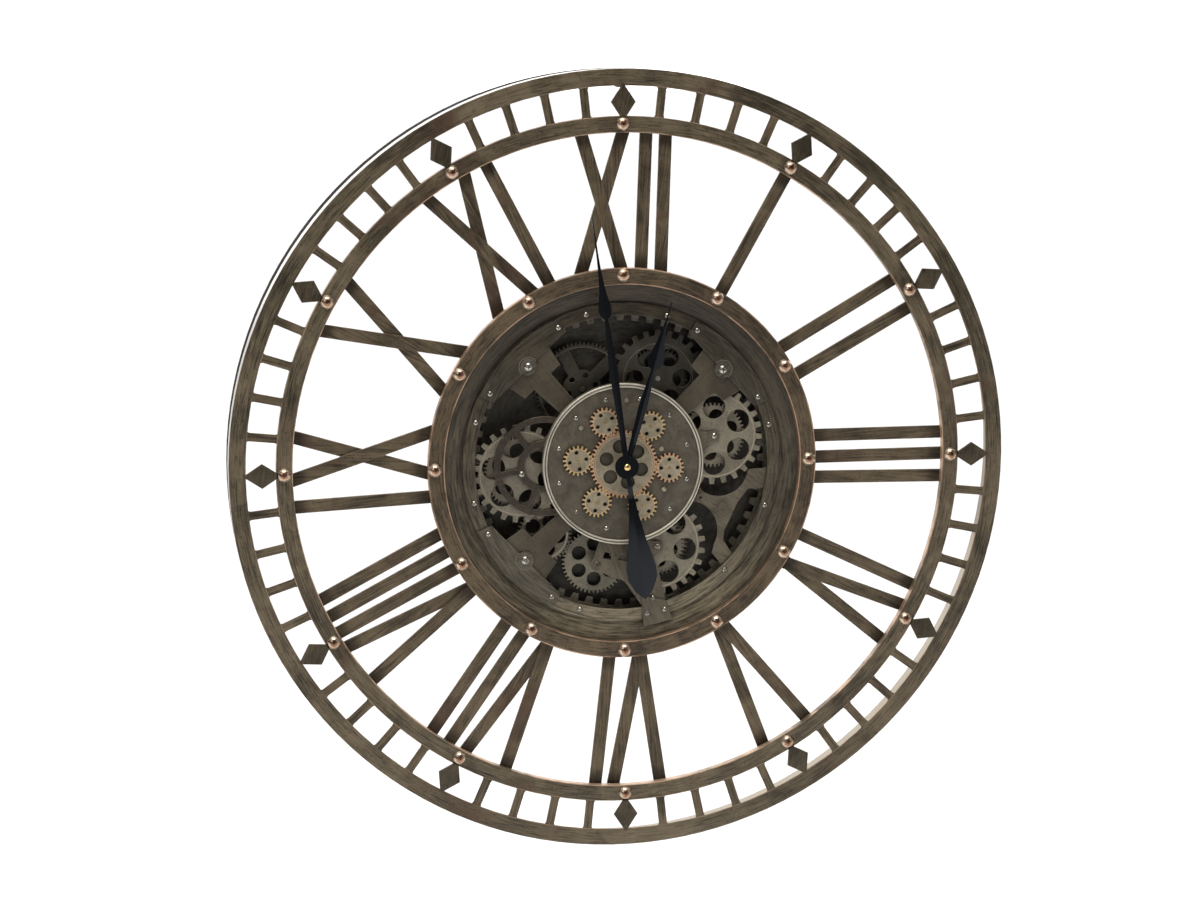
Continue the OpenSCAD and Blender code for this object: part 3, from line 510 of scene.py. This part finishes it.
def paint_dial():
    """Minute bars, diamonds, rivets, and the numerals' strips, with painted shadow beside the rings."""
    paint("minute_bars", metal("bars", STRIP_DARK, STRIP_LIGHT, out_grain(26.0, 200.0),
                               stain=(RUST, 0.4), worn=(EDGE, 0.7)))
    paint("hour_diamonds", metal(
        "diamonds", (0.03, 0.0235, 0.0145), (0.1, 0.077, 0.049), line_grain(80.0, 60.0, 700.0),
        stain=(RUST, 0.4), worn=(EDGE, 0.7), grain_weight=0.4))
    # painted shadow: the strips darkened where the rings shade them
    ring_shadows = [(ring_mask(AXIS, radius, 0.006, soft), (0.45, 0.43, 0.4), 1.0, "MULTIPLY")
                  for radius, soft in zip(STRIP_ENDS, (0.012, 0.014))]
    strip = metal("strips", STRIP_DARK, STRIP_LIGHT, out_grain(), stain=(RUST, 0.6), worn=(EDGE, 0.9),
                  rough=(0.36, 0.62), tint=ring_shadows)
    for hour in range(1, 13):
        paint(f"numeral_{hour:02d}", strip)
    paint("ring_rivets", domed("rivet_copper", (0.26, 0.135, 0.085), (0.62, 0.5, 0.39)))


def paint_drum():
    """The drum with its dish and ledge: painted shade towards the top, where the rim shades them, painted
    light towards the bottom, and painted shade in inside corners.
    """
    # painted shade in inside corners, painted shade towards the top and painted light towards the bottom
    hub_steel = metal(
        "drum", HUB_DARK, HUB_LIGHT, round_grain(AXIS, 8.0, 520.0, 4.0, 0.55),
        stain=((0.085, 0.072, 0.052), 0.4), worn=((0.26, 0.235, 0.19), 0.7), rough=(0.34, 0.55),
        cloud_scale=12.0, grain_weight=0.68, spread=0.2, score=0.2, crevice_shade=0.6,
        tint=[(rising_mask(-0.06, 0.16), (0.47, 0.44, 0.4), 1.0, "MULTIPLY"),
              (falling_mask(-0.05, -0.17), (2.25, 2.22, 2.18), 1.0, "MULTIPLY")])
    paint("drum", hub_steel)
    paint("dish", hub_steel)
    paint("tooth_ring", metal(
        "tooth_ring", (0.085, 0.074, 0.056), (0.2, 0.178, 0.138), round_grain(AXIS, 30.0, 700.0),
        stain=((0.08, 0.064, 0.045), 0.4), worn=((0.24, 0.215, 0.175), 0.8)))
    paint("back_cover", metal(
        "back_cover", (0.022, 0.0195, 0.015), (0.066, 0.058, 0.045), round_grain(AXIS, 12.0, 300.0),
        stain=((0.06, 0.045, 0.03), 0.5)))


def paint_plates():
    """The fixed plates over the works, the chord plates with painted shade towards the top, the arms, web
    and brackets with painted shade in inside corners.
    """
    washer_marks = [(ring_mask(screw, 0.0095, 0.0003, 0.0006), (0.2, 0.18, 0.145), 0.6)
                    for screw in ARM_SCREWS]
    # painted shade: the chord plates darker towards the top
    shade = (rising_mask(-0.03, 0.13), (0.56, 0.53, 0.48), 1.0, "MULTIPLY")
    paint("chord_plates", metal(
        "chord_plates", (0.043, 0.037, 0.027), (0.14, 0.123, 0.091),
        round_grain(AXIS, 7.0, 560.0, 4.0, 0.55),
        stain=((0.08, 0.067, 0.048), 0.35), worn=((0.26, 0.235, 0.185), 0.8),
        grain_weight=0.66, spread=0.18, score=0.2, tint=[shade] + washer_marks))
    # painted shade in the arms' inside corners
    paint("bridge_arms", metal(
        "bridge_arms", (0.046, 0.037, 0.025), (0.108, 0.09, 0.063), out_grain(30.0, 300.0),
        stain=((0.085, 0.07, 0.05), 0.3), worn=((0.26, 0.24, 0.2), 0.8),
        grain_weight=0.45, spread=0.17, score=0.2, crevice_shade=0.5))
    # painted shade in the inside corners of the web and brackets
    for node, brush_angle in (("web_plate", -35.0), ("axle_bracket", 20.0), ("bottom_bridge", -70.0)):
        paint(node, metal(
            node, (0.072, 0.06, 0.042), (0.172, 0.147, 0.106), line_grain(brush_angle, 60.0, 900.0),
            stain=((0.1, 0.082, 0.058), 0.3), worn=((0.3, 0.275, 0.225), 0.8),
            grain_weight=0.45, spread=0.17, score=0.2, crevice_shade=0.5))
    paint("left_cage", metal(
        "left_cage", (0.026, 0.0205, 0.015), (0.07, 0.056, 0.041), round_grain(LEFT_CAGE, 20.0, 500.0),
        stain=((0.1, 0.062, 0.04), 0.4), worn=((0.3, 0.24, 0.17), 0.8)))


def paint_disc():
    """The centre disc, whose pins for the planet gears are brass."""
    # painted shade in the disc's inside corners
    paint("centre_disc",
          metal("centre_disc", (0.055, 0.047, 0.034), (0.15, 0.13, 0.099), round_grain(AXIS, 9.0, 300.0),
                stain=((0.08, 0.062, 0.043), 0.5), worn=((0.2, 0.18, 0.15), 0.6), rough=(0.42, 0.62),
                bump=0.18, cloud_scale=60.0, grain_weight=0.35, spread=0.3, score=0.12, crevice_shade=0.6),
          polished("planet_pin", (0.62, 0.44, 0.2), (0.3, 0.2, 0.1), (0.2, 0.36), 0.1, 400.0))
    for face in nodes["centre_disc"].data.polygons:
        face.material_index = int(face.center.y + WALL_DEPTH < DISC_PIN_BACK)
    paint("disc_pins", polished("pin_brass", (0.62, 0.56, 0.4), (0.3, 0.26, 0.18), (0.22, 0.4)))


def paint_screws():
    """Bright pan screws, but for the arm screws' washers and the head on the bottom gear's axle."""
    bright, dull = 0, 1
    paint("screws",
          polished("screw_steel", (0.4, 0.385, 0.35), (0.13, 0.12, 0.105), (0.16, 0.34), 0.1, 320.0),
          metal("washers", (0.06, 0.053, 0.04), (0.15, 0.134, 0.104), line_grain(30.0, 60.0, 500.0),
                stain=((0.1, 0.085, 0.062), 0.3), worn=((0.3, 0.28, 0.23), 0.8), wear_radius=0.0006))
    axle_head_reach, washer_reach = 0.006, 0.009
    arm_head_r, arm_head_back = 0.0046, 0.00715
    axle_x, axle_z = centre_of("gear_bottom")
    for face in nodes["screws"].data.polygons:
        x, y, z = face.center
        from_screw = min(math.hypot(x - screw_x, z - screw_z) for screw_x, screw_z in ARM_SCREWS)
        if math.hypot(x - axle_x, z - axle_z) < axle_head_reach:
            face.material_index = dull
        elif from_screw < washer_reach:
            on_head = from_screw <= arm_head_r and y + WALL_DEPTH <= arm_head_back
            face.material_index = bright if on_head else dull


def paint_hands():
    paint("minute_hand", lacquer("minute_black", MINUTE_HAND_ANGLE))
    paint("hour_hand", lacquer("hour_black", HOUR_HAND_ANGLE))
    paint("hand_nut", polished("nut_brass", (0.85, 0.62, 0.28), (0.5, 0.34, 0.14), (0.14, 0.26)))


def paint_back():
    """The pieces behind the drum, with the axles and the hanging eye."""
    for node, colour in (("movement_case", (0.016, 0.016, 0.018)),
                         ("battery_box", (0.016, 0.016, 0.018)),
                         ("setting_wheel", (0.02, 0.02, 0.022)),
                         ("battery_door", (0.022, 0.022, 0.024))):
        paint(node, plastic(node, colour))
    paint("hanging_eye", plastic("eye_black", (0.012, 0.012, 0.013)))
    paint("aa_cells", cell_jacket())
    paint("gear_motor", metal("gear_motor", (0.3, 0.29, 0.27), (0.5, 0.49, 0.46),
                              line_grain(90.0, 30.0, 900.0), rough=(0.3, 0.45)))
    paint("motor_pinion", polished("pinion_brass", (0.62, 0.47, 0.26), (0.34, 0.25, 0.13), (0.22, 0.4)))
    paint("gear_axles", polished("axle_steel", (0.4, 0.38, 0.34), (0.2, 0.19, 0.17), (0.25, 0.45)))
    paint("power_switch", polished("switch_nickel", (0.55, 0.54, 0.5), (0.3, 0.29, 0.27), (0.2, 0.36)))


def gear_metal(name, centre, line_radii, dark=STEEL_DARK, light=STEEL_LIGHT, edge=(0.5, 0.46, 0.38)):
    """Grey gear blank: turned marks round its centre, engraved lines, worn tooth edges and painted shade
    in its inside corners.
    """
    lines = [(ring_mask(centre, radius, 0.0004, 0.0003), scaled(light, 1.9), 0.7)
             for radius in line_radii]
    # painted shade in inside corners, out to 5 mm
    return metal(name, dark, light, round_grain(centre, 60.0, 900.0), stain=((0.16, 0.13, 0.09), 0.25),
                 worn=(edge, 0.7), wear_radius=0.0006, rough=(0.36, 0.56), bump=0.25, cloud_scale=30.0,
                 grain_weight=0.5, crevice_shade=0.55, reach=0.005, tint=lines)


def planet_metal(name, centre, rubbed):
    """Grey-beige face with teeth that are rubbed down to copper or gold."""
    tooth_root = 0.0122
    tint = [(outside_mask(centre, tooth_root, 0.0012), rubbed, 0.85),
            (ring_mask(centre, tooth_root * 0.985, 0.0002, 0.0004), (0.7, 0.5, 0.33), 0.5)]
    return metal(name, (0.22, 0.182, 0.122), (0.42, 0.36, 0.26), round_grain(centre, 90.0, 1300.0),
                 stain=((0.32, 0.2, 0.11), 0.5), worn=((0.85, 0.6, 0.38), 0.9), wear_radius=0.0005,
                 rough=(0.3, 0.48), bump=0.2, cloud_scale=90.0, grain_weight=0.45, tint=tint)


def sun_metal():
    """Like the planets, a little darker, with teeth rubbed down to copper."""
    tint = [(outside_mask(AXIS, 0.0312, 0.0008), (0.6, 0.34, 0.2), 0.85),
            (ring_mask(AXIS, 0.0295, 0.0003, 0.0003), (0.5, 0.4, 0.28), 0.7)]
    return metal("sun_gear", (0.2, 0.17, 0.118), (0.36, 0.315, 0.23), round_grain(AXIS, 90.0, 1100.0),
                 stain=((0.25, 0.15, 0.085), 0.4), worn=((0.8, 0.54, 0.33), 0.85), wear_radius=0.0005,
                 rough=(0.32, 0.5), bump=0.2, cloud_scale=60.0, grain_weight=0.45, tint=tint)


def paint_gears():
    """Each blank is turned round its own centre; the ones that lie deep are painted nearly black as shade,
    and the left one a little darker as painted shade.
    """
    steel = (STEEL_DARK, STEEL_LIGHT)
    # painted shade: a darker copy of steel for the left gear
    half_shaded = ((0.1, 0.088, 0.066), (0.24, 0.215, 0.165))
    dim = (SHADED_DARK, SHADED_LIGHT, SHADED_EDGE)
    blanks = {"gear_right": ((0.0425,), steel), "gear_lower_right": ((0.0425,), steel),
              "gear_left": ((0.0425,), half_shaded), "gear_bottom": ((), steel),
              "gear_bottom_left": ((0.0238,), steel), "gear_upper_right": ((0.036,), dim),
              "gear_upper_left": ((0.0435,), dim), "drive_wheel": ((0.062,), dim)}
    for node, (line_radii, colours) in blanks.items():
        paint(node, gear_metal(node, centre_of(node), line_radii, *colours))
    paint("sun_gear", sun_metal())
    copper, gold = (0.62, 0.36, 0.2), (0.6, 0.42, 0.19)
    for k in range(1, 7):
        planet = f"planet_{k}"
        paint(planet, planet_metal(planet, centre_of(planet), copper if k in (2, 6) else gold))


# ---------------------------------------------------------------- the bezel, spun from its own outline
def spun(name, outline):
    """A closed outline of (radius, depth) turned round the clock's axis, smooth but for its corners."""
    turns = 360
    mesh = bpy.data.meshes.new(name)
    bm = bmesh.new()
    rings = []
    for k in range(turns):
        c, s = math.cos(math.tau * k / turns), math.sin(math.tau * k / turns)
        rings.append([bm.verts.new((r * c, depth - WALL_DEPTH, r * s)) for r, depth in outline])
    for k in range(turns):
        near, far = rings[k], rings[(k + 1) % turns]
        for i in range(len(outline)):
            j = (i + 1) % len(outline)
            bm.faces.new((near[i], near[j], far[j], far[i])).smooth = True
    bmesh.ops.recalc_face_normals(bm, faces=bm.faces)
    for edge in bm.edges:
        edge.smooth = edge.calc_face_angle() < math.radians(35)
    bm.to_mesh(mesh)
    bm.free()
    piece = bpy.data.objects.new(name, mesh)
    bpy.context.scene.collection.objects.link(piece)
    return piece


def bezel():
    """Two round beads with a groove between them, on a shelf that runs in under the disc."""
    outer, back = 0.0833, 0.01
    width, bead, bead_depth = 0.0047, 0.00125, 0.0044
    shelf_in, shelf_front = outer - 0.014, 0.008
    steps = 14
    centres = (outer - bead, outer - width + bead)
    meet = math.acos((centres[0] - centres[1]) / (2 * bead))
    arc = [(math.pi - meet) * i / steps for i in range(steps + 1)]
    outline = [(centres[0] + bead * math.cos(a), bead_depth - bead * math.sin(a)) for a in arc]
    outline += [(centres[1] + bead * math.cos(a + meet), bead_depth - bead * math.sin(a + meet))
                for a in arc[1:]]
    outline += [(outer - width, shelf_front), (shelf_in, shelf_front), (shelf_in, back), (outer, back)]
    ring = spun("bezel_beads", outline)
    ring.data.materials.append(turned_nickel("bezel", sum(centres) / 2))
    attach(ring, "frame")
    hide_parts("bezel_ring")


# ---------------------------------------------------------------- the stage, lights and camera
def backdrop():
    mesh = bpy.data.meshes.new("floor")
    bm = bmesh.new()
    z = -0.78
    corners = [bm.verts.new(p) for p in ((-40, -3.0, z), (40, -3.0, z), (40, 50, z), (-40, 50, z))]
    bm.faces.new(corners)
    bm.to_mesh(mesh)
    bm.free()
    floor = bpy.data.objects.new("floor", mesh)
    bpy.context.scene.collection.objects.link(floor)
    g = Graph("floor_white")
    soft = g.noise(g.coord, 1.5, 2.0, 0.5)
    colour = g.mix(soft, (0.93, 0.93, 0.93), (0.95, 0.95, 0.95))
    mesh.materials.append(g.set(Base_Color=colour, Roughness=0.9))


def area(name, place, target, size, power):
    warm = (1.0, 0.965, 0.88)
    light = bpy.data.lights.new(name, "AREA")
    light.shape = "RECTANGLE"
    light.size, light.size_y = size
    light.energy = power
    light.color = warm
    lamp = bpy.data.objects.new(name, light)
    bpy.context.scene.collection.objects.link(lamp)
    lamp.location = place
    lamp.rotation_euler = (Vector(target) - Vector(place)).to_track_quat("-Z", "Y").to_euler()


def world_light():
    """A white world, bright behind the clock and above it, and dim in front."""
    world = bpy.data.worlds.new("studio")
    bpy.context.scene.world = world
    world.use_nodes = True
    tree = world.node_tree
    split = tree.nodes.new("ShaderNodeSeparateXYZ")
    tree.links.new(tree.nodes.new("ShaderNodeTexCoord").outputs["Generated"], split.inputs[0])
    lean = tree.nodes.new("ShaderNodeMath")
    lean.operation = "MULTIPLY_ADD"
    lean.inputs[1].default_value = 0.5
    tree.links.new(split.outputs[2], lean.inputs[0])
    tree.links.new(split.outputs[1], lean.inputs[2])
    fall = tree.nodes.new("ShaderNodeMapRange")
    fall.interpolation_type = "SMOOTHSTEP"
    for socket, value in (("From Min", 0.0), ("From Max", 0.7), ("To Min", 0.1), ("To Max", 2.0)):
        fall.inputs[socket].default_value = value
    tree.links.new(lean.outputs[0], fall.inputs["Value"])
    background = tree.nodes["Background"]
    background.inputs["Color"].default_value = (1.0, 1.0, 1.0, 1.0)
    tree.links.new(fall.outputs["Result"], background.inputs["Strength"])


def studio():
    world_light()
    area("top", (-0.25, -1.15, 2.3), (0, 0, 0.05), (1.8, 0.9), 46.0)
    area("key", (-1.7, -2.1, 1.3), (0, 0, 0), (1.0, 1.0), 8.0)
    area("side", (2.2, -1.4, 0.5), (0, 0, 0), (0.6, 1.6), 4.0)
    bpy.context.scene.view_settings.view_transform = "Standard"


def photo_camera():
    """The photograph's viewpoint: left of the clock and above it, a little askew."""
    place = (-0.4987, -2.7758, 0.4405)
    yaw, pitch, roll = -9.88, -8.744, -0.268
    camera = bpy.data.objects.new("camera", bpy.data.cameras.new("camera"))
    bpy.context.scene.collection.objects.link(camera)
    camera.matrix_world = (Matrix.Translation(place)
                           @ Matrix.Rotation(math.radians(yaw), 4, "Z")
                           @ Matrix.Rotation(math.radians(90.0 + pitch), 4, "X")
                           @ Matrix.Rotation(math.radians(roll), 4, "Z"))
    camera.data.sensor_width = 36.0
    camera.data.lens = 82.431
    camera.data.clip_end = 200.0
    bpy.context.scene.camera = camera


paint_rings()
paint_dial()
paint_drum()
paint_plates()
paint_disc()
paint_screws()
paint_hands()
paint_back()
paint_gears()
bezel()
backdrop()
studio()
photo_camera()
